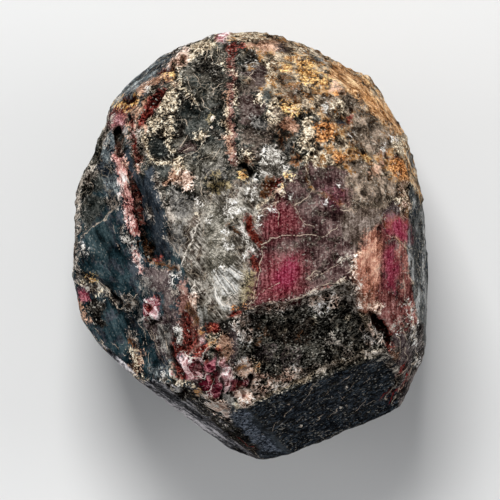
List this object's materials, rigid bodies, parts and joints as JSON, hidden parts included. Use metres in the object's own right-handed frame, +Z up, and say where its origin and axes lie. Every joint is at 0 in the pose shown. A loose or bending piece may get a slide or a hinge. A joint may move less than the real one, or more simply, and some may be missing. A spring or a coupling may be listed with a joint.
{
  "type": "garnet crystal",
  "caption": "Loose natural garnet crystal, rounded and stepped, with dark teal, black and rusty faces and red translucent windows, lying on its flat broken back.",
  "frame": {"origin": "middle of the crystal's box in plan, at the height of the flat broken back face it lies on", "axes": "+Y along the crystal's length towards its rounded end, +X across it towards the red windows' side, +Z up out of the surface it lies on"},
  "size_m": [0.0222, 0.0268, 0.021],
  "materials": {
    "garnet": "dark teal-grey and black growth faces, rust-stained crown, crimson translucent windows, chipped edges"
  },
  "bodies": {
    "root": {"garnet_crystal": "garnet"}
  },
  "joints": []
}
